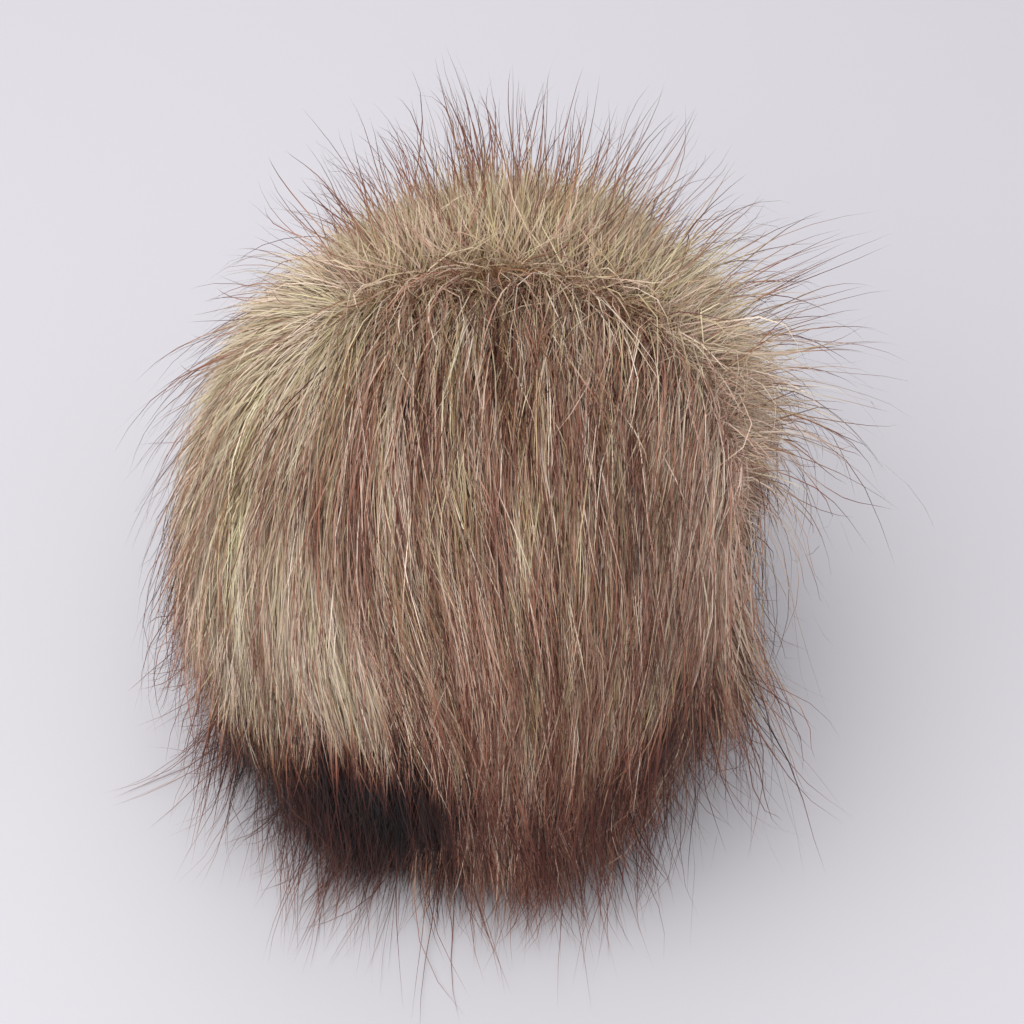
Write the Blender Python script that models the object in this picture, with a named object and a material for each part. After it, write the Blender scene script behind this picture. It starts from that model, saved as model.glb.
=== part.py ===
"""A long-pile fur pom pom at rest on a flat surface.

Metres, +Z up, the front towards -Y. One solid: a soft ball with a small flat
spot under it, and tapered locks of pile whose roots are fused into the ball.
The pile is combed away from a parting over the top, lies straight down the
front, stands up behind the parting, and flares into a level hem at the foot.
"""
import math
import random

import bmesh
import bpy
from mathutils import Matrix, Vector
from mathutils.bvhtree import BVHTree

# Ball, which is the body of dense pile.
BALL_RADIUS = 0.059
CENTRE_HEIGHT = 0.050
BALL_DETAIL = 4

# The parting that the pile is combed away from, over the top from left to right:
# degrees round from the front towards +X, and degrees down from the top.
PARTING = ((-100, 30), (-118, 14), (140, 9), (96, 24), (87, 38), (67, 64))
PARTING_PULL = 2.6
PARTING_REACH = math.radians(15)

# In front of the parting the pile is combed one way, down and forward. Behind it, it
# falls, and so it does at the hem. Where these begin and end: shares of the ball's
# radius in front of its middle, and below it.
COMBED = Vector((0.0, -0.64, -0.77))
COMBED_FROM, COMBED_TO = -0.35, 0.35
HEM_FROM, HEM_TO = -0.20, 0.42
HEM_FALL = 0.85

# The rings of locks are spaced out from a crown a little behind the top.
CROWN_LEAN = math.radians(9)

# Locks: where they stand and how long and thick they are. Each row of TAPER is a
# section: share of the length, share of the width, share of the thickness.
FIRST_RING = math.radians(5)
RING_STEP = math.radians(12)
RING_COUNT = 12
LOCK_PITCH = 0.0128
LOCK_LENGTH = 0.046
LOCK_WIDTH = 0.0088
LOCK_THICKNESS = 0.0026
ROOT_DEPTH = 0.0064
TAPER = ((0.0, 0.55, 0.60), (0.26, 1.0, 1.0), (0.52, 0.86, 0.86), (0.78, 0.50, 0.60))

# Guard locks are longer and thinner, one in so many. They gain less length low on the ball.
GUARD_EVERY = 4
GUARD_LENGTH = 1.36
LOW_GUARD_LENGTH = 1.06
LOW_GUARD_BELOW = 0.045
HIGH_GUARD_ABOVE = 0.085
GUARD_WIDTH = 0.62

# Short locks fill rows beside the parting, where there is room for them.
SHORT_LOCK_STEP = math.radians(8)
SHORT_LOCK_ASIDE = (math.radians(4), math.radians(11), math.radians(18), math.radians(25))
SHORT_LOCK_LENGTH = 0.024
SHORT_LOCK_LIFT = math.radians(10)

# How the pile leaves the ball: steep at the root, then laid over.
ROOT_LIFT = math.radians(40)
LAID_LIFT = math.radians(14)
LAID_HEIGHT = 0.0035
SWAY = math.radians(9)
SWAY_WAVES = 5
SWAY_SLANT = 2

# Pile near the surface that the ball stands on.
FLOOR_TURN = 0.022
FLOOR_SINK = 0.008
FLOOR_COMB = 0.4
SHORT_BELOW = 0.010
FULL_ABOVE = 0.034
SHORT_LENGTH = 0.42

# Seeded unevenness between one lock and the next.
SEED = 14
LENGTH_SPREAD = 0.14
TURN_SPREAD = 0.16
LIFT_SPREAD = math.radians(1.5)

# Steps along a lock's path, and how much a lock is grown to see that it stands apart.
PATH_STEPS = 24
CLEARANCE = 1.08

# Edges of the ball sharper than this stay crisp.
SHARP_ANGLE = math.radians(50)

# Soft zones of the ball. Angles are in degrees: round from the front towards +X,
# down from the top, how far the zone spreads, and how much more the pile lifts and
# turns. The ball rises by metres, and the pile grows longer by a share.
ZONE_COLUMNS = ("round", "down", "spread", "rise", "longer", "lift", "turn")
ZONES = {
    "crown": (180, 10, 22, 0.000, -0.30, 18, 0),
    "behind_crown": (180, 46, 34, 0.000, -0.14, 38, 0),
    "left_of_crown": (-148, 50, 22, -0.002, -0.06, 0, 0),
    "right_of_crown": (130, 57, 16, -0.002, -0.06, 0, 0),
    "right_lobe": (112, 56, 26, 0.001, -0.02, 18, 0),
    "right_hollow": (68, 100, 30, -0.006, -0.04, 4, -10),
    "left_shoulder": (-112, 50, 26, -0.001, 0.00, 6, 0),
    "left_bulge": (-78, 92, 30, 0.001, -0.04, 2, 0),
    "front_left_hem": (-50, 114, 26, 0.002, 0.30, 16, -8),
    "front_hem": (0, 118, 28, 0.000, 0.26, 14, 0),
    "front_right_hem": (46, 112, 26, -0.004, 0.00, 8, -14),
    "back_hem": (180, 118, 60, 0.000, 0.00, 4, 0),
}

# Matt brown fur. The colour is linear.
FUR_COLOUR = (0.238, 0.150, 0.105, 1.0)
FUR_ROUGHNESS = 0.85

CENTRE = Vector((0.0, 0.0, CENTRE_HEIGHT))
CROWN = Vector((0.0, math.sin(CROWN_LEAN), math.cos(CROWN_LEAN)))
UP = Vector((0.0, 0.0, 1.0))


def clear_scene():
    """Remove whatever the scene holds."""
    for found in list(bpy.data.objects):
        bpy.data.objects.remove(found, do_unlink=True)


def make_collection(name):
    """A new collection linked to the scene."""
    group = bpy.data.collections.new(name)
    bpy.context.scene.collection.children.link(group)
    return group


def direction(around, down):
    """Unit vector at an angle round from the front and down from the top."""
    flat = math.sin(down)
    return Vector((flat * math.sin(around), -flat * math.cos(around), math.cos(down)))


def zone_sum(out, column):
    """Sum of one column of the zones, each fading with the angle from its middle."""
    total = 0.0
    for values in ZONES.values():
        zone = dict(zip(ZONE_COLUMNS, values))
        away = out.angle(direction(math.radians(zone["round"]), math.radians(zone["down"])))
        total += zone[column] * math.exp(-(away / math.radians(zone["spread"])) ** 2)
    return total


def surface_radius(out):
    """Distance from the centre to the ball's surface in a direction."""
    return BALL_RADIUS + zone_sum(out, "rise")


def smooth_step(value, low, high):
    """Zero at or below low, one at or above high, and smooth between them."""
    share = min(max((value - low) / (high - low), 0.0), 1.0)
    return share * share * (3.0 - 2.0 * share)


def parting_stretches():
    """The parting's straight stretches: directions of their two ends."""
    marks = [direction(math.radians(around), math.radians(down)) for around, down in PARTING]
    return list(zip(marks, marks[1:]))


def nearest_parting(out):
    """Direction of the parting's nearest spot to a direction on the ball."""
    spots = []
    for start, end in parting_stretches():
        span = end - start
        share = min(max((out - start).dot(span) / span.length_squared, 0.0), 1.0)
        spots.append((start + span * share).normalized())
    return max(spots, key=out.dot)


def laid_along(out):
    """Direction in which the pile lies over the ball, and how far it is on the front."""
    parting = nearest_parting(out)
    away = (out * parting.dot(out) - parting).normalized()
    away *= PARTING_PULL * math.exp(-out.angle(parting) / PARTING_REACH)
    falling = out * out.z - UP
    combed = COMBED - out * out.dot(COMBED)
    front = smooth_step(-out.y, COMBED_FROM, COMBED_TO)
    at_hem = smooth_step(-out.z, HEM_FROM, HEM_TO)
    settled = falling.lerp(combed, front * (1.0 - HEM_FALL * at_hem))
    return (away + settled).normalized(), front


def flow(point, lift_change, heading):
    """Unit vector along which the pile runs at a point, and the side that it lies on."""
    from_centre = point - CENTRE
    out = from_centre.normalized()
    along, front = laid_along(out)
    turn = heading + math.radians(zone_sum(out, "turn"))
    along = Matrix.Rotation(turn, 3, out) @ along
    height = from_centre.length - surface_radius(out)
    laid = smooth_step(height, 0.0, LAID_HEIGHT)
    lift = ROOT_LIFT + (LAID_LIFT - ROOT_LIFT) * laid + math.radians(zone_sum(out, "lift")) + lift_change
    run = along * math.cos(lift) + out * math.sin(lift)
    near_floor = 1.0 - smooth_step(point.z, -FLOOR_SINK, FLOOR_TURN)
    level = Vector((point.x, point.y, 0.0)).normalized() - Vector((0.0, front * FLOOR_COMB, 0.0))
    run = run.lerp(level.normalized(), near_floor).normalized()
    over = out.lerp(UP, near_floor).normalized()
    return run, over


def lock_frames(root, length, lift_change, heading):
    """Points along a lock with its side and over directions, one for each row of TAPER and the tip."""
    run, over = flow(root, lift_change, heading)
    point = root - run * ROOT_DEPTH
    stops = [round(share * PATH_STEPS) for share, _, _ in TAPER] + [PATH_STEPS]
    frames = []
    step = length / PATH_STEPS
    for index in range(PATH_STEPS + 1):
        run, over = flow(point, lift_change, heading)
        if index in stops:
            side = run.cross(over).normalized()
            frames.append((point.copy(), side, side.cross(run).normalized()))
        point = point + run * step
        point.z = max(point.z, 0.0)
    return frames


def add_lock(mesh, frames, width, thickness):
    """Loft a three-sided lock through its frames, closed at the root and drawn to a point."""
    rings = []
    for (point, side, over), (_, wide, thick) in zip(frames, TAPER):
        corners = (
            point + side * width * wide / 2,
            point - side * width * wide / 2,
            point + over * thickness * thick,
        )
        ring = [mesh.verts.new((spot.x, spot.y, max(spot.z, 0.0))) for spot in corners]
        rings.append(ring)
    tip = mesh.verts.new(frames[-1][0])
    mesh.faces.new(reversed(rings[0]))
    for lower, upper in zip(rings, rings[1:]):
        for corner in range(3):
            other = (corner + 1) % 3
            mesh.faces.new((lower[corner], lower[other], upper[other], upper[corner]))
    for corner in range(3):
        mesh.faces.new((rings[-1][corner], rings[-1][(corner + 1) % 3], tip))


def guard_length(root):
    """How many times longer a guard lock is than its neighbours, by the height of its root."""
    high = smooth_step(root.z, LOW_GUARD_BELOW, HIGH_GUARD_ABOVE)
    return LOW_GUARD_LENGTH + (GUARD_LENGTH - LOW_GUARD_LENGTH) * high


def lock_plan():
    """Root point, length, lift and heading of each lock, ring by ring down from the crown."""
    draw = random.Random(SEED)
    turn_to_crown = UP.rotation_difference(CROWN)
    count = 0
    for ring in range(RING_COUNT):
        down = FIRST_RING + ring * RING_STEP
        locks = round(2 * math.pi * BALL_RADIUS * math.sin(down) / LOCK_PITCH)
        for place in range(locks):
            around = 2 * math.pi * (place + 0.5 * (ring % 2) + draw.uniform(-1, 1) * TURN_SPREAD) / locks
            out = turn_to_crown @ direction(around, down)
            root = CENTRE + out * surface_radius(out)
            shorter = SHORT_LENGTH + (1 - SHORT_LENGTH) * smooth_step(root.z, SHORT_BELOW, FULL_ABOVE)
            length = LOCK_LENGTH * shorter * (1 + zone_sum(out, "longer"))
            length *= 1 + draw.uniform(-1, 1) * LENGTH_SPREAD
            heading = SWAY * math.sin(SWAY_WAVES * around + SWAY_SLANT * down)
            lift_change = draw.uniform(-1, 1) * LIFT_SPREAD
            guard = count % GUARD_EVERY == 0
            count += 1
            yield root, length, lift_change, heading, guard


def short_lock_plan():
    """The same of short locks in rows on both sides of the parting."""
    for start, end in parting_stretches():
        count = max(round(start.angle(end) / SHORT_LOCK_STEP), 1)
        across = start.cross(end).normalized()
        for place in range(count):
            spot = start.slerp(end, (place + 0.5) / count)
            for aside in SHORT_LOCK_ASIDE:
                for side in (-1, 1):
                    out = (spot + across * side * math.tan(aside)).normalized()
                    root = CENTRE + out * surface_radius(out)
                    yield root, SHORT_LOCK_LENGTH, SHORT_LOCK_LIFT, 0.0, False


def space_taken(frames, width):
    """Search tree of the space that a lock takes, a little grown."""
    mesh = bmesh.new()
    add_lock(mesh, frames, width * CLEARANCE, LOCK_THICKNESS * CLEARANCE)
    tree = BVHTree.FromBMesh(mesh)
    mesh.free()
    return tree


def make_locks(group):
    """All the locks as one mesh of separate closed forms. One that would touch another is left out."""
    mesh = bmesh.new()
    standing = []
    for root, length, lift_change, heading, guard in [*lock_plan(), *short_lock_plan()]:
        width = LOCK_WIDTH
        if guard:
            length *= guard_length(root)
            width *= GUARD_WIDTH
        frames = lock_frames(root, length, lift_change, heading)
        space = space_taken(frames, width)
        if any(space.overlap(other) for other in standing):
            continue
        standing.append(space)
        add_lock(mesh, frames, width, LOCK_THICKNESS)
    bmesh.ops.recalc_face_normals(mesh, faces=mesh.faces)
    data = bpy.data.meshes.new("locks")
    mesh.to_mesh(data)
    mesh.free()
    locks = bpy.data.objects.new("locks", data)
    locks.hide_render = True
    locks.display_type = "WIRE"
    group.objects.link(locks)
    return locks


def make_ball(group):
    """The lumpy ball, cut level at the surface that it stands on."""
    mesh = bmesh.new()
    bmesh.ops.create_icosphere(mesh, subdivisions=BALL_DETAIL, radius=1.0)
    for vert in mesh.verts:
        out = vert.co.normalized()
        vert.co = CENTRE + out * surface_radius(out)
    everything = mesh.verts[:] + mesh.edges[:] + mesh.faces[:]
    cut = bmesh.ops.bisect_plane(
        mesh, geom=everything, plane_co=(0, 0, 0), plane_no=(0, 0, 1), clear_inner=True
    )
    rim = [item for item in cut["geom_cut"] if isinstance(item, bmesh.types.BMEdge)]
    bmesh.ops.edgeloop_fill(mesh, edges=rim)
    bmesh.ops.recalc_face_normals(mesh, faces=mesh.faces)
    data = bpy.data.meshes.new("fur_ball")
    mesh.to_mesh(data)
    mesh.free()
    data.shade_smooth()
    data.set_sharp_from_angle(angle=SHARP_ANGLE)
    ball = bpy.data.objects.new("fur_ball", data)
    group.objects.link(ball)
    return ball


def fuse(body, locks):
    """Fuse the locks' roots into the ball."""
    joining = body.modifiers.new("fuse roots", "BOOLEAN")
    joining.operation = "UNION"
    joining.solver = "EXACT"
    joining.object = locks


def fur_material():
    """Brown fur, matt."""
    material = bpy.data.materials.new("fur")
    material.use_nodes = True
    shader = material.node_tree.nodes["Principled BSDF"]
    shader.inputs["Base Color"].default_value = FUR_COLOUR
    shader.inputs["Roughness"].default_value = FUR_ROUGHNESS
    shader.inputs["Metallic"].default_value = 0.0
    return material


def main():
    """Build the pom pom."""
    clear_scene()
    parts = make_collection("pom_pom")
    cutters = make_collection("cutters")
    locks = make_locks(cutters)
    ball = make_ball(parts)
    ball.data.materials.append(fur_material())
    fuse(ball, locks)


main()
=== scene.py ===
"""The dressed pom pom: combed long-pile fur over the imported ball, on a pale floor under soft light.

Metres, +Z up, the front towards -Y, as in the frame.
"""
import math

import bpy
import numpy as np
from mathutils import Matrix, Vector
from mathutils.kdtree import KDTree


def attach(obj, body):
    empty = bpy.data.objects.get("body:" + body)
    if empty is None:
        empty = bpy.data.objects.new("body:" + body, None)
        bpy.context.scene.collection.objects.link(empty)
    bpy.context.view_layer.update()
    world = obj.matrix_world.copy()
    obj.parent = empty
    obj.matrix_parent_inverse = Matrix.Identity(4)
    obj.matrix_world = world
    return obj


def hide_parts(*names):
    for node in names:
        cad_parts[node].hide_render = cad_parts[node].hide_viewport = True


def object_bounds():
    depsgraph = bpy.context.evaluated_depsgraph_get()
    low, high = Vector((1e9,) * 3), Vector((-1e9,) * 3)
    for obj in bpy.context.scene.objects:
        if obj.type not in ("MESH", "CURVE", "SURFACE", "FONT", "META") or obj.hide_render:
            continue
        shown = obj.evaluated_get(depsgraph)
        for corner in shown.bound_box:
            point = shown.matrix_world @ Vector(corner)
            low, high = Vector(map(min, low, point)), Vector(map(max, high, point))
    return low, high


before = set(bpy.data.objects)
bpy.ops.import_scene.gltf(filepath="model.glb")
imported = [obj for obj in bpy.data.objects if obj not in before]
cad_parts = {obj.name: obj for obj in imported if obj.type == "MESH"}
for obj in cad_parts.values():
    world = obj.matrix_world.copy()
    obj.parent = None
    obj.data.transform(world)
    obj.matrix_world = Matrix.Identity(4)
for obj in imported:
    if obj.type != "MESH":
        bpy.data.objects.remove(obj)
cad_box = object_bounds()

# Pile stays within the solids' box and what fabric may stand proud of it.
CAD_LOW, CAD_HIGH = np.array(cad_box[0]), np.array(cad_box[1])
PROUD = 0.03 * (CAD_HIGH - CAD_LOW) + 0.006

# The ball under the pile.
BALL_RADIUS = 0.059
CENTRE = np.array((0.0, 0.0, 0.050))
UP = np.array((0.0, 0.0, 1.0))

# The parting that the pile is combed away from runs over the top from left to right:
# degrees round from the front towards +X, and degrees down from the top.
PARTING = ((-100, 30), (-118, 14), (140, 9), (96, 24), (87, 38), (67, 64))
PARTING_PULL = 2.6
PARTING_REACH = math.radians(15)

# In front of the parting the pile is combed one way, down and forward. Behind it, it falls.
COMBED = np.array((0.0, -0.64, -0.77))
COMBED_FROM, COMBED_TO = -0.35, 0.35
HEM_FROM, HEM_TO = -0.20, 0.42
HEM_FALL = 0.85

# How the pile leaves the ball: steep at the root, then laid over.
ROOT_LIFT = math.radians(36)
LAID_LIFT = math.radians(8)
LAID_HEIGHT = 0.0035

# Pile near the floor turns level on it.
FLOOR_TURN = 0.022
FLOOR_SINK = 0.008
FLOOR_GAP = 0.0003
FLOOR_COMB = 0.4
SHORT_BELOW = 0.008
FULL_ABOVE = 0.034
SHORT_LENGTH = 0.45

# How far from the ball's centre the dense pile ends. A hair that leaves the reach
# ends about half a row before the point that does, or a whole row at the solids' box.
BASE_REACH = 0.0670
REACH_BACK, BOX_BACK = 0.5, 1.0

# Roots lie a little sunk and a little uneven, and none is as low as the flat spot.
ROOT_SINK = 0.001
ROOT_UNEVEN = 1.3
ROOT_LOWEST = 0.003

# The share of the under coat that is left out under the combed front.
UNDER_THINNER = 0.55

# The middle of the front, where this share of the guard hairs is left out.
FRONT_SPOT = {"round": 0, "down": 62, "spread": 42}
FRONT_THINNER = 0.62

# Strays keep this close to the parting, the nearest ones a share of it.
STRAY_REACH = math.radians(20)
STRAY_NEAREST = 0.2

# The slow swing of the combing over the ball: size, waves round it and waves up it.
SWAYS = ((math.radians(3.5), 5.0, 40.0), (math.radians(3.0), 11.0, -70.0))

# Soft zones of the ball. Angles in degrees: round from the front towards +X, down
# from the top, how far the zone spreads, and how much more the pile lifts and
# turns. The ball rises and the pile reaches by metres. The pile grows longer,
# thinner, sparser in guard hairs, more wispy, more ruffled and more tufted by a share.
ZONE_COLUMNS = (
    "round", "down", "spread", "rise", "longer", "lift", "turn", "reach",
    "thinner", "sparser", "wispy", "ruffled", "tufted",
)
ZONES = {
    "crown": (180, 10, 22, 0.000, -0.25, 14, 0, -0.001, 0.15, 0.0, 0.0, 0.6, 0.0),
    "behind_crown": (180, 46, 34, 0.000, -0.14, 34, 0, 0.000, 0.86, 0.0, 1.3, 0.6, 0.0),
    "fan": (176, 52, 24, 0.000, 0.16, 4, 0, 0.003, 0.00, 0.0, 1.1, 0.0, 0.3),
    "left_of_crown": (-148, 50, 22, -0.002, 0.00, 0, 0, -0.004, 0.00, 0.0, 0.0, 0.0, 0.0),
    "right_of_crown": (130, 57, 16, -0.002, 0.00, 0, 0, -0.004, 0.00, 0.0, 0.0, 0.0, 0.0),
    "right_lobe": (106, 58, 25, 0.000, -0.06, 32, 0, -0.004, 0.84, 0.2, 1.9, 0.6, 0.2),
    "right_hollow": (80, 100, 31, -0.012, 0.10, 8, -8, -0.026, 0.40, 0.6, 2.0, 2.0, 0.5),
    "right_notch": (64, 74, 13, -0.003, 0.00, 0, 0, -0.010, 0.20, 0.4, 0.5, 0.5, 0.3),
    "right_foot": (50, 98, 13, 0.000, 0.20, 32, 20, 0.014, 0.00, 0.0, 0.8, 0.4, 0.9),
    "left_shoulder": (-112, 50, 26, -0.001, -0.05, 10, 0, -0.001, 0.60, 0.0, 0.5, 0.4, 0.4),
    "left_bulge": (-78, 92, 30, 0.001, -0.04, 2, 0, -0.002, 0.00, 0.0, 0.4, 0.2, 0.7),
    "front": (-6, 64, 27, 0.000, 0.00, 0, 13, 0.000, 0.00, 0.0, 0.0, 0.5, 0.0),
    "front_left_hem": (-56, 114, 26, 0.002, 0.26, 20, -16, 0.014, 0.15, 0.1, 1.0, 0.5, 1.4),
    "front_hem": (0, 118, 28, 0.000, 0.22, 18, 0, 0.010, 0.20, 0.2, 1.3, 0.5, 1.0),
    "front_right_hem": (42, 114, 24, -0.004, 0.00, 10, -12, -0.005, 0.10, 0.2, 1.4, 0.8, 0.9),
    "back_hem": (180, 118, 60, 0.000, 0.00, 6, 0, 0.010, 0.00, 0.0, 0.4, 0.2, 0.5),
}

# Colour tones run from 0, cream, to 1, near-black, and warmth from 0, olive, to 1,
# reddish. Each spot pulls the fur to its own tone and warmth by its weight.
TONE_COLUMNS = ("round", "down", "spread", "tone", "warm", "weight")
BASE_TONE = 0.43
BASE_WARM = 0.5
TONES = {
    "behind_parting_khaki": (180, 50, 46, 0.44, 0.1, 4.0),
    "right_lobe_khaki": (112, 60, 25, 0.23, 0.25, 4.0),
    "crown_mix": (-10, 14, 23, 0.46, 0.3, 3.0),
    "front_mauve": (14, 40, 24, 0.48, 0.6, 2.0),
    "front_straw": (2, 56, 12, 0.42, 0.1, 2.0),
    "right_mauve": (52, 64, 24, 0.24, 0.8, 2.0),
    "front_tan": (12, 80, 20, 0.42, 0.55, 3.0),
    "left_khaki": (-85, 60, 30, 0.18, 0.2, 4.0),
    "cream_patch": (-42, 87, 19, 0.06, 0.28, 16.0),
    "cream_streak": (-62, 66, 13, 0.36, 0.4, 3.0),
    "cream_shadow": (-12, 84, 8, 0.50, 0.7, 4.0),
    "patch_border": (-26, 107, 19, 0.68, 0.75, 4.0),
    "black_patch": (-24, 111, 15, 1.14, 0.6, 30.0),
    "black_patch_left": (-45, 115, 12, 1.12, 0.6, 20.0),
    "low_middle": (4, 92, 12, 0.54, 0.65, 3.0),
    "brown_hem_right": (32, 102, 12, 0.86, 0.8, 7.0),
    "brown_hem_middle": (10, 119, 19, 0.63, 0.85, 8.0),
    "brown_left_edge": (-82, 112, 18, 0.44, 0.9, 5.0),
    "back_hem": (180, 118, 60, 0.60, 0.7, 3.0),
}

# Streaks that run the way the pile lies: width, length and strength of each size.
STREAK_SEED = 5
STREAK_ROWS = 64
TONE_STREAKS = ((0.0060, 0.034, 0.050), (0.0024, 0.018, 0.075), (0.0011, 0.010, 0.075))
WARM_STREAKS = ((0.0060, 0.034, 0.14), (0.0020, 0.016, 0.22))
# The pile behind the parting is calmer: its contrast beside that of the front. Light
# fur and black fur vary less too, by these shares.
CALM_BEHIND = 0.35
LIGHT_CALM = 0.45
BLACK_CALM = 0.75
BLACK_FROM, BLACK_TO = 0.75, 1.0

# Tips fade towards this tone, those of the black patch too, and turn warmer. Where
# the fading starts varies by a share of the hair's length.
TIP_TONE = 0.86
TIP_WARMER = 0.5
TIP_SPREAD = 0.08

# Each hair and each lock takes its colour from a spot this far off, in metres.
HAIR_OFF, LOCK_OFF = 0.0025, 0.0045

# Wisps far out from the dark hem are paler: how far from the ball's centre, their
# tone, and how far under the ball's middle they have to point.
WISP_FROM, WISP_TO = 0.078, 0.092
WISP_TONE = 0.66
WISP_LOW_FROM, WISP_LOW_TO = 0.0, 0.3

# Light fur varies less in warmth: its share of the variety, and the tones between
# which it grows to the whole.
LIGHT_SHARE = 0.45
LIGHT_FROM, LIGHT_TO = 0.10, 0.50

# Hairs gather in strands and locks of about so many, and tone and warmth vary by
# lock, by strand and by hair.
LOCK_HAIRS = 30
STRAND_HAIRS = 6
TONE_SPREADS = (0.05, 0.13, 0.17)
WARM_SPREADS = (0.12, 0.20, 0.24)

# Larger tufts, where the pile is tufted: how many cover the ball, how strongly they
# draw together, and how much they swing aside and differ in reach.
TUFTS = 420
TUFT_SEED = 3
TUFT_PULL = 0.75
TUFT_SWING = math.radians(15)
TUFT_STEP = 0.0035

# How hairs vary: ranges for shares of the curl, the width, the waver, its number of
# waves, and the pull towards a leader, which grows by a power along the hair.
CURLS = (0.3, 1.6)
WIDTHS = (0.7, 1.3)
LENGTHS = (0.5, 1.5)
WAVERS = (0.2, 1.0)
WAVES = (0.4, 1.1)
PULLS = (0.35, 1.0)
STRONGEST_PULL = 0.9
PULL_POWER = 1.4

# A hair keeps its width up to its taper, then narrows to a point. It rolls either way.
TAPER = 0.55
TAPER_POWER = 0.8
ROLL = math.radians(55)

# Each hair has a cell of its own in the bake map, with a rim left free.
CELL_RIM = 0.1

# Layers of pile. Lengths and widths in metres, lifts and headings in degrees. Each
# hair is a flat ribbon with so many rows. It stands up by a share of its zone's lift,
# gathers in locks and strands by a share, and wavers by metres. It ends past the dense
# pile by its overshoot, on average. Its tip darkens from a share of its length onwards.
LAYER_COLUMNS = (
    "count", "seed", "length", "length_spread", "width", "rows", "stand",
    "lift", "lift_spread", "heading_spread", "curl", "locks", "strands", "waver", "mixing",
    "overshoot", "contrast", "tone_add", "tip_dark", "tip_start", "tip_behind", "where", "material",
)
LAYERS = {
    "under_coat": (38500, 11, 0.021, 0.12, 0.00024, 3, 0.7,
                   14, 7, 12, 0, 0.20, 0.10, 0.0006, 0.05,
                   0.0010, 0.35, -0.06, 0.10, 0.4, -3.00, "under", "under"),
    "combed_coat_a": (27000, 21, 0.034, 0.30, 0.00022, 5, 0.7,
                      0, 3, 6, 0, 0.40, 0.35, 0.0006, 0.035,
                      0.0010, 1.00, 0.00, 0.25, 0.6, -1.20, "combed", "combed"),
    "combed_coat_b": (27000, 22, 0.036, 0.30, 0.00022, 5, 0.7,
                      0, 3, 8, 0, 0.40, 0.35, 0.0006, 0.05,
                      0.0014, 1.00, 0.00, 0.30, 0.6, -1.20, "combed", "combed"),
    "combed_coat_c": (27000, 23, 0.038, 0.30, 0.00021, 5, 0.8,
                      1, 4, 11, 0, 0.30, 0.45, 0.0010, 0.07,
                      0.0022, 1.10, 0.00, 0.40, 0.6, -0.80, "combed", "combed"),
    "guard_hairs": (12500, 31, 0.048, 0.22, 0.00022, 7, 1.15,
                    3, 6, 11, 7, 0.30, 0.50, 0.0014, 0.06,
                    0.0070, 1.00, 0.06, 1.00, 0.18, 1.00, "rim", "guard"),
    "crown_strays": (20000, 41, 0.019, 0.30, 0.00015, 3, 0.8,
                     4, 6, 10, 0, 0.10, 0.30, 0.0008, 0.05,
                     0.0010, 0.60, -0.14, 0.00, 0.6, 1.00, "parting", "under"),
}


# Display colours of the tones, from cream to near-black.
TONE_RAMP = (
    (0.00, (223, 216, 204)),
    (0.20, (204, 192, 176)),
    (0.40, (178, 158, 140)),
    (0.60, (137, 99, 79)),
    (0.80, (84, 46, 36)),
    (1.00, (10, 3, 4)),
)
# What olive, plain and reddish fibres do to a tone.
WARM_RAMP = (
    (0.0, (244, 246, 209)),
    (0.5, (252, 243, 236)),
    (1.0, (255, 227, 220)),
)

# Materials: name, roughness, specular level, brightness and its variety from hair to hair.
MATERIALS = {
    # The deep pile's lower brightness is painted shade for the gaps between the hairs.
    "deep": ("deep pile", 0.9, 0.10, 0.80, 0.0),
    "under": ("under coat", 0.8, 0.10, 1.00, 0.07),
    "combed": ("combed coat", 0.42, 0.32, 1.00, 0.28),
    "guard": ("guard hair", 0.45, 0.25, 0.88, 0.20),
}

# The dense body under the hairs: how fine it is, and how much darker than the fur it is painted, a
# painted shade that stands for the shadow in the gaps between the hairs.
BODY_FINENESS = 6
BODY_PAINTED_SHADE = 0.16

# The floor, and the light: where each lamp is, its size and its power.
FLOOR_SIZE = 6.0
FLOOR_COLOUR = (0.485, 0.472, 0.490, 1.0)
FLOOR_ROUGHNESS = 0.9
SKY_COLOUR = (0.93, 0.93, 1.0, 1.0)
SKY_STRENGTH = 0.70
LAMPS = {
    "key": ((-0.30, -0.34, 0.68), 1.2, 10.0),
    "fill": ((0.5, -0.4, 0.5), 1.0, 1.2),
    "back": ((-0.1, 0.6, 0.6), 0.7, 1.8),
}

# The camera at the photograph's angle: metres a pixel at the ball, the picture's side
# in pixels, and where in it the ball's middle is.
CAMERA_ELEVATION = math.radians(45)
CAMERA_DISTANCE = 0.46
SENSOR = 36.0
PIXEL = 0.00021
PICTURE = 1024
BALL_COLUMN, BALL_ROW = 500, 510


def unit(vectors):
    """Vectors scaled to length one."""
    return vectors / np.maximum(np.linalg.norm(vectors, axis=-1, keepdims=True), 1e-12)


def direction(around, down):
    """Unit vector at degrees round from the front and down from the top."""
    around, down = math.radians(around), math.radians(down)
    flat = math.sin(down)
    return np.array((flat * math.sin(around), -flat * math.cos(around), math.cos(down)))


def fade(out, row, power=2):
    """How strongly a soft spot is felt in each direction."""
    angle = np.arccos(np.clip(out @ direction(row["round"], row["down"]), -1.0, 1.0))
    return np.exp(-((angle / math.radians(row["spread"])) ** power))


def zone_sum(out, *columns):
    """Sums of some columns of the zones in each direction."""
    totals = [np.zeros(out.shape[:-1]) for _ in columns]
    for values in ZONES.values():
        row = dict(zip(ZONE_COLUMNS, values))
        strength = fade(out, row)
        for total, column in zip(totals, columns):
            total += strength * row[column]
    return totals


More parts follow.
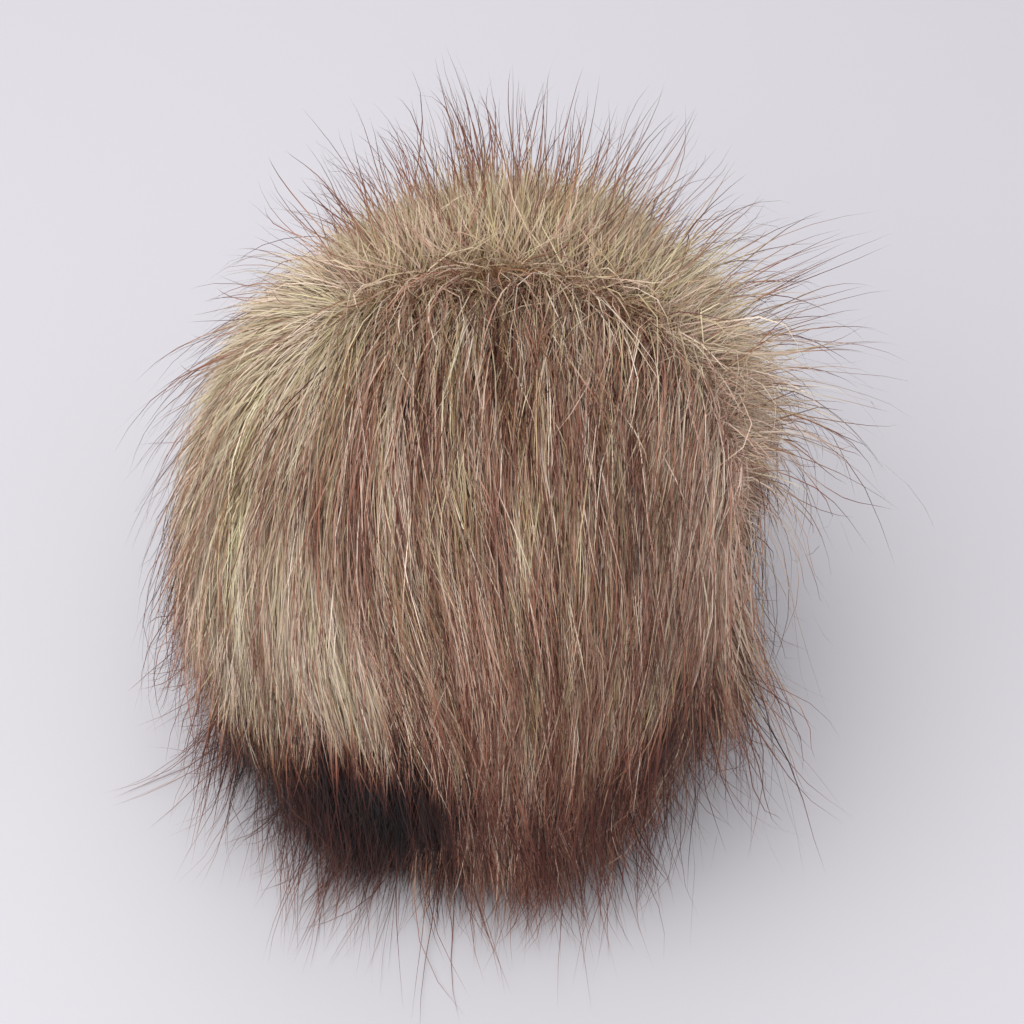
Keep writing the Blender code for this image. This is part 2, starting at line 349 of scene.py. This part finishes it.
def tone_at(points):
    """Tone and warmth of the fur at each point."""
    out = unit(points - CENTRE)
    weight = np.ones(out.shape[:-1])
    tone = BASE_TONE * weight
    warm = BASE_WARM * weight
    for values in TONES.values():
        row = dict(zip(TONE_COLUMNS, values))
        pull = fade(out, row, 4) * row["weight"]
        weight += pull
        tone += pull * row["tone"]
        warm += pull * row["warm"]
    return tone / weight, warm / weight


def uneven(grid, across, along):
    """Smooth noise read from a grid of random numbers, which repeats at its edges."""
    columns, rows = grid.shape
    left, low = np.floor(across).astype(int), np.floor(along).astype(int)
    x, y = across - left, along - low
    x, y = x * x * (3.0 - 2.0 * x), y * y * (3.0 - 2.0 * y)
    total = 0.0
    for column, share in ((left, 1.0 - x), (left + 1, x)):
        for row, part in ((low, 1.0 - y), (low + 1, y)):
            total = total + grid[column % columns, row % rows] * share * part
    return total


def streaks(out, front):
    """Uneven tone and warmth in streaks that run the way the pile lies."""
    draw = np.random.default_rng(STREAK_SEED)
    totals = []
    for sizes in (TONE_STREAKS, WARM_STREAKS):
        total = np.zeros(out.shape[:-1])
        for width, length, strength in sizes:
            for axis, share in ((COMBED, front), (-UP, 1.0 - front)):
                axis = axis / np.linalg.norm(axis)
                forward = np.cross(axis, (1.0, 0.0, 0.0))
                turn = np.arctan2(out[..., 0], out @ forward)
                tilt = np.arccos(np.clip(out @ axis, -1.0, 1.0))
                columns = round(2.0 * math.pi * BALL_RADIUS / width)
                grid = draw.normal(0.0, 1.0, (columns, STREAK_ROWS))
                across = turn * columns / (2.0 * math.pi)
                total += strength * share * uneven(grid, across, tilt * BALL_RADIUS / length)
        totals.append(total)
    return totals


def smooth_step(value, low, high):
    """Zero at or below low, one at or above high, and smooth between them."""
    share = np.clip((value - low) / (high - low), 0.0, 1.0)
    return share * share * (3.0 - 2.0 * share)


def parting_at(out):
    """Unit vectors from each direction's nearest point of the parting, and the angle to it."""
    marks = [direction(around, down) for around, down in PARTING]
    best = np.full(out.shape[0], -2.0)
    nearest = np.zeros_like(out)
    for start, end in zip(marks, marks[1:]):
        span = end - start
        share = np.clip((out - start) @ span / (span @ span), 0.0, 1.0)
        spot = unit(start + share[:, None] * span)
        closeness = np.sum(out * spot, axis=1)
        closer = closeness > best
        best[closer] = closeness[closer]
        nearest[closer] = spot[closer]
    return nearest, np.arccos(np.clip(best, -1.0, 1.0))


def laid_along(out, nearest, gap):
    """Which way the pile lies over the ball: away from the parting, then combed down."""
    away = unit(out * np.sum(out * nearest, axis=1)[:, None] - nearest)
    falling = out * out[:, 2:3] - UP
    combed = COMBED - out * (out @ COMBED)[:, None]
    front = front_of(out)[:, None]
    at_hem = smooth_step(-out[:, 2:3], HEM_FROM, HEM_TO)
    settled = falling + (combed - falling) * front * (1.0 - HEM_FALL * at_hem)
    return unit(away * (PARTING_PULL * np.exp(-gap / PARTING_REACH))[:, None] + settled), front


def flow(points, lift_change, heading, shift, stand):
    """Direction in which the pile runs at each point, and the side that it lies on."""
    away_from_centre = points - CENTRE
    distance = np.linalg.norm(away_from_centre, axis=-1)
    out = away_from_centre / distance[:, None]
    rise, lift, turn = zone_sum(out, "rise", "lift", "turn")
    along, front = laid_along(out, *parting_at(unit(out + shift)))
    angle = (heading + np.radians(turn))[:, None]
    along = along * np.cos(angle) + np.cross(out, along) * np.sin(angle)
    laid = smooth_step(distance - BALL_RADIUS - rise, 0.0, LAID_HEIGHT)
    lift = ROOT_LIFT + (LAID_LIFT - ROOT_LIFT) * laid + np.radians(lift) * stand + lift_change
    lift = lift[:, None]
    run = along * np.cos(lift) + out * np.sin(lift)
    near_floor = (1.0 - smooth_step(points[:, 2], -FLOOR_SINK, FLOOR_TURN))[:, None]
    level = unit(unit(points * (1.0, 1.0, 0.0)) + front * (0.0, -FLOOR_COMB, 0.0))
    run = unit(run + (level - run) * near_floor)
    over = unit(out + (UP - out) * near_floor)
    return run, over


def grow(roots, lengths, lift_change, heading, curl, shift, rows, stand):
    """Paths of hairs from their roots, and the side that each point lies on."""
    steps = 2 * rows
    point = roots.copy()
    paths, overs = [], []
    for step in range(steps + 1):
        run, over = flow(point, lift_change + curl * step / steps, heading, shift, stand)
        if step % 2 == 0:
            paths.append(point.copy())
            overs.append(over)
        point = point + run * (lengths / steps)[:, None]
        point[:, 2] = np.maximum(point[:, 2], FLOOR_GAP)
    return np.stack(paths, axis=1), np.stack(overs, axis=1)


def trim(paths, overshoot, step):
    """End hairs where they leave the pile's reach, and spread their points again."""
    out = unit(paths - CENTRE)
    reach, wispy, tufted = zone_sum(out, "reach", "wispy", "tufted")
    limit = BASE_REACH + reach + step[:, None] * tufted + overshoot[:, None] * (1.0 + wispy)
    over = np.linalg.norm(paths - CENTRE, axis=2) > limit
    outside = ((paths < CAD_LOW - PROUD) | (paths > CAD_HIGH + PROUD)).any(axis=2)
    over |= outside
    over[:, 0] = False
    rows = paths.shape[1] - 1
    first = np.where(over.any(axis=1), over.argmax(axis=1), rows + 1)
    back = np.where(outside.any(axis=1), BOX_BACK, REACH_BACK)
    share = np.clip((first - back) / rows, 0.0, 1.0)
    spot = share[:, None] * np.arange(rows + 1)
    whole = np.minimum(spot.astype(int), rows - 1)
    part = (spot - whole)[:, :, None]
    pick = np.arange(len(paths))[:, None]
    return paths[pick, whole] * (1.0 - part) + paths[pick, whole + 1] * part


def scatter(count, draw):
    """Roots spread evenly over the ball, a little sunk, none under the flat spot."""
    index = np.arange(count) + 0.5
    height = 1.0 - 2.0 * index / count
    turn = index * math.pi * (3.0 - math.sqrt(5.0))
    flat = np.sqrt(1.0 - height * height)
    out = np.stack((flat * np.cos(turn), flat * np.sin(turn), height), axis=1)
    out = unit(out + draw.normal(0.0, ROOT_UNEVEN / math.sqrt(count), out.shape))
    rise = zone_sum(out, "rise")[0]
    roots = CENTRE + out * (BALL_RADIUS + rise - ROOT_SINK)[:, None]
    return roots[roots[:, 2] > ROOT_LOWEST]


def front_of(out):
    """How far each direction belongs to the combed front, from 0 to 1."""
    return smooth_step(-out[..., 1], COMBED_FROM, COMBED_TO)


def under_the_coat(roots, draw):
    """A layer that is thinner under the combed front."""
    return draw.uniform(0.0, 1.0, len(roots)) > UNDER_THINNER * front_of(unit(roots - CENTRE))


def where_combed(roots, draw):
    """A layer that is thinner where the pile stands up."""
    thinner = zone_sum(unit(roots - CENTRE), "thinner")[0]
    return draw.uniform(0.0, 1.0, len(roots)) > thinner


def near_parting(roots, draw):
    """A layer that keeps only the roots close to the parting."""
    gap = parting_at(unit(roots - CENTRE))[1]
    return gap < STRAY_REACH * draw.uniform(STRAY_NEAREST, 1.0, len(roots))


def at_the_rim(roots, draw):
    """A layer that is thin on the front and full behind the parting and at the sides."""
    out = unit(roots - CENTRE)
    sparser = zone_sum(out, "sparser")[0]
    thinner = FRONT_THINNER * fade(out, FRONT_SPOT)
    return draw.uniform(0.0, 1.0, len(roots)) > np.maximum(thinner, sparser)


WHERE = {
    "under": under_the_coat,
    "combed": where_combed,
    "rim": at_the_rim,
    "parting": near_parting,
}


def nearest_in(points, others):
    """For each of the others, which of the points is nearest."""
    tree = KDTree(len(points))
    for place, point in enumerate(points):
        tree.insert(point, place)
    tree.balance()
    return np.array([tree.find(other)[1] for other in others])


def leaders_of(roots, draw, group):
    """For each hair, the nearest of some leaders drawn among all, one for so many hairs."""
    leaders = draw.choice(len(roots), max(len(roots) // group, 1), replace=False)
    return leaders[nearest_in(roots[leaders], roots)]


def tufts_of(roots):
    """For each hair, the middle hair of its tuft, and the tuft's swing and step, alike in all layers."""
    draw = np.random.default_rng(TUFT_SEED)
    spots = scatter(TUFTS, draw)
    swings = draw.normal(0.0, TUFT_SWING, len(spots))
    steps = draw.normal(0.0, TUFT_STEP, len(spots))
    tuft = nearest_in(spots, roots)
    return nearest_in(roots, spots)[tuft], swings[tuft], steps[tuft]


def clump(paths, leader, draw, strength):
    """Draw hairs towards their leaders, more towards their tips."""
    share = np.linspace(0.0, 1.0, paths.shape[1]) ** PULL_POWER
    strength = np.minimum(strength, STRONGEST_PULL) * draw.uniform(*PULLS, len(paths))
    pull = (share * strength[:, None])[:, :, None]
    return paths + (paths[leader] - paths) * pull


def waver(paths, overs, draw, amount):
    """Bend each hair a little to one side and off the surface."""
    share = np.linspace(0.0, 1.0, paths.shape[1])
    runs = unit(np.gradient(paths, axis=1))
    sides = unit(np.cross(runs, overs))
    for vectors in (sides, overs):
        phase = draw.uniform(0.0, 2.0 * math.pi, (len(paths), 1))
        waves = draw.uniform(*WAVES, (len(paths), 1))
        size = amount[:, None] * draw.uniform(*WAVERS, (len(paths), 1))
        bend = (np.sin(phase + waves * 2.0 * math.pi * share) - np.sin(phase)) * size * share
        paths = paths + bend[:, :, None] * vectors
    paths[:, :, 2] = np.maximum(paths[:, :, 2], FLOOR_GAP)
    return paths


def hair_corners(paths, overs, width, draw):
    """Two edges of a ribbon along each hair, down to its pointed tip."""
    count, rows = paths.shape[0], paths.shape[1] - 1
    share = np.linspace(0.0, 1.0, rows + 1)[:-1]
    taper = np.clip((1.0 - share) / TAPER, 0.0, 1.0) ** TAPER_POWER
    runs = unit(np.gradient(paths, axis=1))[:, :-1]
    across = unit(np.cross(runs, overs[:, :-1]))
    lift = np.cross(across, runs)
    roll = draw.uniform(-1.0, 1.0, (count, 1, 1)) * ROLL
    radius = (width[:, None] * taper[None] / 2.0)[:, :, None]
    edges = []
    for turn in (0.0, math.pi):
        aside = across * np.cos(roll + turn) + lift * np.sin(roll + turn)
        edges.append(paths[:, :-1] + aside * radius)
    body = np.stack(edges, axis=2).reshape(count, rows * 2, 3)
    points = np.concatenate((body, paths[:, -1:]), axis=1)
    points[:, :, 2] = np.maximum(points[:, :, 2], FLOOR_GAP / 2)
    return points


def hair_faces(rows):
    """Triangles of one hair, as corner numbers, and their places in a square of its own."""
    faces, spots = [], []
    for row in range(rows - 1):
        low, high = row / rows, (row + 1) / rows
        a, b = row * 2, row * 2 + 1
        faces += [(a, b, b + 2), (a, b + 2, a + 2)]
        spots += [((0.0, low), (1.0, low), (1.0, high)), ((0.0, low), (1.0, high), (0.0, high))]
    low = 1.0 - 1.0 / rows
    faces.append((rows * 2 - 2, rows * 2 - 1, rows * 2))
    spots.append(((0.0, low), (1.0, low), (0.5, 1.0)))
    return np.array(faces), np.array(spots)


def set_mesh(name, points, triangles):
    """Mesh object from arrays of points and triangles."""
    data = bpy.data.meshes.new(name)
    data.vertices.add(len(points))
    data.vertices.foreach_set("co", points.astype(np.float32).ravel())
    data.loops.add(triangles.size)
    data.loops.foreach_set("vertex_index", triangles.astype(np.int32).ravel())
    data.polygons.add(len(triangles))
    data.polygons.foreach_set("loop_start", np.arange(0, triangles.size, 3, dtype=np.int32))
    data.polygons.foreach_set("use_smooth", np.ones(len(triangles), dtype=bool))
    data.update(calc_edges=True)
    thing = bpy.data.objects.new(name, data)
    bpy.context.scene.collection.objects.link(thing)
    return thing


def carry(thing, label, values):
    """Store one number for each point of a mesh."""
    attribute = thing.data.attributes.new(label, "FLOAT", "POINT")
    attribute.data.foreach_set("value", values.astype(np.float32).ravel())


def hair_mesh(name, points, rows, tone, warm, shade):
    """Joined mesh of hairs, each a flat ribbon with a cell of its own in the bake map."""
    count, corners = points.shape[:2]
    faces, spots = hair_faces(rows)
    triangles = (faces[None] + np.arange(count)[:, None, None] * corners).reshape(-1, 3)
    thing = set_mesh(name, points.reshape(-1, 3), triangles)
    grid = math.ceil(math.sqrt(count))
    cell = np.stack((np.arange(count) % grid, np.arange(count) // grid), axis=1)
    places = cell[:, None, None, :] + CELL_RIM + (1.0 - 2.0 * CELL_RIM) * spots[None]
    layer = thing.data.uv_layers.new(name="OFBake")
    layer.uv.foreach_set("vector", (places / grid).ravel())
    for label, values in (("tone", tone), ("warm", warm)):
        body = np.repeat(values[:, :-1], 2, axis=1)
        carry(thing, label, np.concatenate((body, values[:, -1:]), axis=1))
    carry(thing, "shade", np.repeat(shade, corners))
    return thing


def lengths_for(roots, row, draw):
    """Lengths of hairs by zone, shorter under the ball."""
    longer = zone_sum(unit(roots - CENTRE), "longer")[0]
    whole = smooth_step(roots[:, 2], SHORT_BELOW, FULL_ABOVE)
    shorter = SHORT_LENGTH + (1.0 - SHORT_LENGTH) * whole
    own = draw.normal(1.0, row["length_spread"], len(roots)).clip(*LENGTHS)
    return row["length"] * shorter * (1.0 + longer) * own


def sway_of(roots):
    """Slow swing of the combing to either side over the ball."""
    around = np.arctan2(roots[:, 0], -roots[:, 1])
    return sum(size * np.sin(waves * around + rising * roots[:, 2]) for size, waves, rising in SWAYS)


def varied(draw, count, leaders, spreads):
    """Random offsets that vary by lock, by strand and by hair, each by its own spread."""
    total = draw.normal(0.0, spreads[-1], (count, 1))
    for leader, spread in zip(leaders, spreads):
        total = total + draw.normal(0.0, spread, (count, 1))[leader]
    return total


def uneven_colours(paths, lock, strand, row, draw):
    """Tone and warmth along each hair, in streaks and varied by lock, strand and hair."""
    count = len(paths)
    moved = draw.normal(0.0, HAIR_OFF, (count, 1, 3)) + draw.normal(0.0, LOCK_OFF, (count, 1, 3))[lock]
    tone, warm = tone_at(paths + moved)
    front = front_of(unit(paths - CENTRE))
    tone_streak, warm_streak = streaks(unit(paths - CENTRE), front)
    calm = 1.0 - LIGHT_CALM * (1.0 - smooth_step(tone, LIGHT_FROM, LIGHT_TO))
    contrast = row["contrast"] * (CALM_BEHIND + (1.0 - CALM_BEHIND) * front) * calm
    tone = tone + contrast * tone_streak
    contrast = contrast * (1.0 - BLACK_CALM * smooth_step(tone, BLACK_FROM, BLACK_TO))
    tone = tone + contrast * varied(draw, count, (lock, strand), TONE_SPREADS)
    warm = warm + warm_streak + varied(draw, count, (lock, strand), WARM_SPREADS)
    return tone + row["tone_add"], warm


def tip_of(paths, row, draw):
    """How far each point of each hair has the tip's colour."""
    count, points = paths.shape[:2]
    front = front_of(unit(paths - CENTRE))
    share = np.linspace(0.0, 1.0, points)[None] + draw.normal(0.0, TIP_SPREAD, (count, 1))
    tip = smooth_step(share, row["tip_start"], 1.0) * row["tip_dark"]
    return tip * (row["tip_behind"] + (1.0 - row["tip_behind"]) * front)


def wisp_of(paths):
    """How far each point belongs to the pale wisps outside the hem."""
    out = unit(paths - CENTRE)
    far = smooth_step(np.linalg.norm(paths - CENTRE, axis=2), WISP_FROM, WISP_TO)
    return far * smooth_step(-out[..., 2], WISP_LOW_FROM, WISP_LOW_TO)


def colours_for(paths, lock, strand, row, draw):
    """Tone and warmth along each hair, with its darker tip."""
    tone, warm = uneven_colours(paths, lock, strand, row, draw)
    tip = tip_of(paths, row, draw)
    tone = tone + (TIP_TONE - tone) * tip
    tone = tone + np.minimum(WISP_TONE - tone, 0.0) * wisp_of(paths)
    share = LIGHT_SHARE + (1.0 - LIGHT_SHARE) * smooth_step(tone, LIGHT_FROM, LIGHT_TO)
    warm = BASE_WARM + (warm - BASE_WARM) * share + TIP_WARMER * np.maximum(tip, 0.0)
    return np.clip(tone, 0.0, 1.0), np.clip(warm, 0.0, 1.0)


def coat(name, row):
    """One layer of pile."""
    draw = np.random.default_rng(row["seed"])
    roots = scatter(row["count"], draw)
    roots = roots[WHERE[row["where"]](roots, draw)]
    count = len(roots)
    lengths = lengths_for(roots, row, draw)
    lift = math.radians(row["lift"]) + draw.normal(0.0, math.radians(row["lift_spread"]), count)
    ruffled, tufted = zone_sum(unit(roots - CENTRE), "ruffled", "tufted")
    middle, swing, step = tufts_of(roots)
    heading = sway_of(roots) + swing * tufted
    heading += draw.normal(0.0, math.radians(row["heading_spread"]), count) * (1.0 + ruffled)
    curl = math.radians(row["curl"]) * draw.uniform(*CURLS, count)
    shift = draw.normal(0.0, row["mixing"], (count, 3))
    paths, overs = grow(roots, lengths, lift, heading, curl, shift, row["rows"], row["stand"])
    lock = leaders_of(roots, draw, LOCK_HAIRS)
    strand = leaders_of(roots, draw, STRAND_HAIRS)
    at_tip = zone_sum(unit(paths[:, -1] - CENTRE), "tufted")[0]
    paths = clump(paths, strand, draw, row["strands"] * (1.0 + at_tip))
    paths = clump(paths, lock, draw, row["locks"] * (1.0 + at_tip))
    paths = clump(paths, middle, draw, TUFT_PULL * at_tip)
    paths = trim(paths, draw.exponential(row["overshoot"], count), step)
    paths = waver(paths, overs, draw, row["waver"] * (1.0 + at_tip))
    tone, warm = colours_for(paths, lock, strand, row, draw)
    width = row["width"] * draw.uniform(*WIDTHS, count)
    points = hair_corners(paths, overs, width, draw)
    shade = draw.uniform(0.0, 1.0, count)
    return hair_mesh(name, points, row["rows"], tone, warm, shade)


def linear(red, green, blue):
    """Scene-linear colour from display values of 0 to 255."""
    values = [channel / 255.0 for channel in (red, green, blue)]
    return tuple(v / 12.92 if v <= 0.04045 else ((v + 0.055) / 1.055) ** 2.4 for v in values) + (1.0,)


def ramp_node(nodes, stops):
    """Colour ramp with the given stops."""
    node = nodes.new("ShaderNodeValToRGB")
    elements = node.color_ramp.elements
    elements[0].position, elements[0].color = stops[0][0], linear(*stops[0][1])
    elements[1].position, elements[1].color = stops[-1][0], linear(*stops[-1][1])
    for position, colour in stops[1:-1]:
        elements.new(position).color = linear(*colour)
    return node


def carried_node(nodes, label):
    """Attribute node for a number that the hairs carry."""
    node = nodes.new("ShaderNodeAttribute")
    node.attribute_name = label
    return node


def fur_material(name, roughness, specular, brightness, variety):
    """Fur whose colour follows the tone, warmth and shade carried by each hair."""
    material = bpy.data.materials.new(name)
    material.use_nodes = True
    nodes, links = material.node_tree.nodes, material.node_tree.links
    shader = nodes["Principled BSDF"]
    tones = ramp_node(nodes, TONE_RAMP)
    tints = ramp_node(nodes, WARM_RAMP)
    links.new(carried_node(nodes, "tone").outputs["Fac"], tones.inputs["Fac"])
    links.new(carried_node(nodes, "warm").outputs["Fac"], tints.inputs["Fac"])
    tinted = nodes.new("ShaderNodeMix")
    tinted.data_type = "RGBA"
    tinted.blend_type = "MULTIPLY"
    tinted.inputs[0].default_value = 1.0
    links.new(tones.outputs["Color"], tinted.inputs[6])
    links.new(tints.outputs["Color"], tinted.inputs[7])
    value = nodes.new("ShaderNodeMapRange")
    value.inputs["To Min"].default_value = (1.0 - variety) * brightness
    value.inputs["To Max"].default_value = (1.0 + variety) * brightness
    links.new(carried_node(nodes, "shade").outputs["Fac"], value.inputs["Value"])
    shaded = nodes.new("ShaderNodeHueSaturation")
    links.new(value.outputs["Result"], shaded.inputs["Value"])
    links.new(tinted.outputs[2], shaded.inputs["Color"])
    links.new(shaded.outputs["Color"], shader.inputs["Base Color"])
    shader.inputs["Roughness"].default_value = roughness
    shader.inputs["Specular IOR Level"].default_value = specular
    return material


def body_mesh():
    """The dense body of pile just under the hairs, its tone darkened as painted shade for the gaps
    between them.
    """
    bpy.ops.mesh.primitive_ico_sphere_add(subdivisions=BODY_FINENESS, radius=1.0)
    thing = bpy.context.object
    thing.name = "pile_body"
    points = np.empty(len(thing.data.vertices) * 3, dtype=np.float32)
    thing.data.vertices.foreach_get("co", points)
    out = unit(points.reshape(-1, 3).astype(float))
    spots = CENTRE + out * (BALL_RADIUS + zone_sum(out, "rise")[0])[:, None]
    spots[:, 2] = np.maximum(spots[:, 2], 0.0)
    thing.data.vertices.foreach_set("co", spots.astype(np.float32).ravel())
    thing.data.shade_smooth()
    tone, warm = tone_at(spots)
    # Painted shade: the body takes the fur's own tone made darker, standing for the shadow between the
    # hairs.
    carry(thing, "tone", np.clip(tone + BODY_PAINTED_SHADE, 0.0, 1.0))
    carry(thing, "warm", warm)
    carry(thing, "shade", np.full(len(spots), 0.5))
    return thing


def stage():
    """Plain pale floor."""
    bpy.ops.mesh.primitive_plane_add(size=FLOOR_SIZE)
    floor = bpy.context.object
    floor.name = "floor"
    material = bpy.data.materials.new("pale surface")
    material.use_nodes = True
    shader = material.node_tree.nodes["Principled BSDF"]
    shader.inputs["Base Color"].default_value = FLOOR_COLOUR
    shader.inputs["Roughness"].default_value = FLOOR_ROUGHNESS
    floor.data.materials.append(material)


def area_light(name, spot, size, power):
    """Soft area light aimed at the ball."""
    data = bpy.data.lights.new(name, "AREA")
    data.size = size
    data.energy = power
    lamp = bpy.data.objects.new(name, data)
    lamp.location = spot
    aim = Vector(CENTRE.tolist()) - Vector(spot)
    lamp.rotation_euler = aim.to_track_quat("-Z", "Y").to_euler()
    bpy.context.scene.collection.objects.link(lamp)


def light():
    """Soft light from above and in front, with a weaker lamp at the right and one behind."""
    world = bpy.data.worlds.new("studio")
    bpy.context.scene.world = world
    world.use_nodes = True
    sky = world.node_tree.nodes["Background"]
    sky.inputs["Color"].default_value = SKY_COLOUR
    sky.inputs["Strength"].default_value = SKY_STRENGTH
    for name, (spot, size, power) in LAMPS.items():
        area_light(name, spot, size, power)
    bpy.context.scene.view_settings.view_transform = "Standard"


def camera():
    """Camera at the photograph's angle, the ball's middle where the photograph has it."""
    data = bpy.data.cameras.new("camera")
    data.sensor_width = SENSOR
    data.lens = SENSOR * CAMERA_DISTANCE / (PICTURE * PIXEL)
    back = Vector((0.0, -math.cos(CAMERA_ELEVATION), math.sin(CAMERA_ELEVATION)))
    up = Vector((0.0, math.sin(CAMERA_ELEVATION), math.cos(CAMERA_ELEVATION)))
    right = Vector((1.0, 0.0, 0.0))
    middle = PICTURE / 2
    aside = right * (middle - BALL_COLUMN) + up * (BALL_ROW - middle)
    aim = Vector(CENTRE.tolist()) + aside * PIXEL
    thing = bpy.data.objects.new("camera", data)
    thing.location = aim + back * CAMERA_DISTANCE
    thing.rotation_euler = (-back).to_track_quat("-Z", "Y").to_euler()
    bpy.context.scene.collection.objects.link(thing)
    bpy.context.scene.camera = thing


def main():
    """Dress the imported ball."""
    camera()
    light()
    stage()
    materials = {key: fur_material(*values) for key, values in MATERIALS.items()}
    body = body_mesh()
    body.data.materials.append(materials["deep"])
    pieces = [body]
    for name, values in LAYERS.items():
        row = dict(zip(LAYER_COLUMNS, values))
        piece = coat(name, row)
        piece.data.materials.append(materials[row["material"]])
        pieces.append(piece)
    for piece in pieces:
        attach(piece, "root")
    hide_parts("fur_ball")


main()
